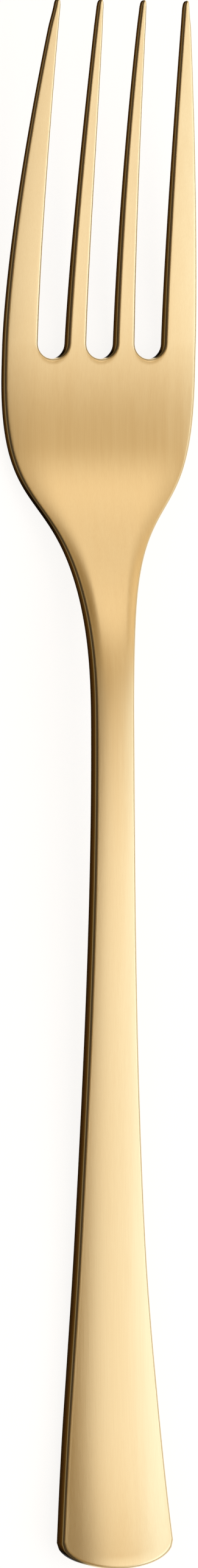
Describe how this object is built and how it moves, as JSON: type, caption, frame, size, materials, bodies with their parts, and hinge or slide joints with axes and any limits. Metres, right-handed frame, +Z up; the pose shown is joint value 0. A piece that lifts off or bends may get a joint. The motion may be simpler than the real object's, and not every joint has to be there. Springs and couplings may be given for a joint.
{
  "type": "dinner fork",
  "caption": "Dinner fork in satin gold-coloured steel: slim neck, flared handle with a rounded end, shallow curved bowl and tapering tines.",
  "frame": {"origin": "on the table, under the middle of the fork's box, with the fork lying on its back", "axes": "+Y from the end of the handle to the tips of the tines, +Z up out of the bowl, +X to the right seen from above"},
  "size_m": [0.0264, 0.2058, 0.014],
  "materials": {
    "gold_steel": "satin gold-coloured coating, faintly brushed lengthwise"
  },
  "bodies": {
    "root": {"fork": "gold_steel"}
  },
  "joints": []
}
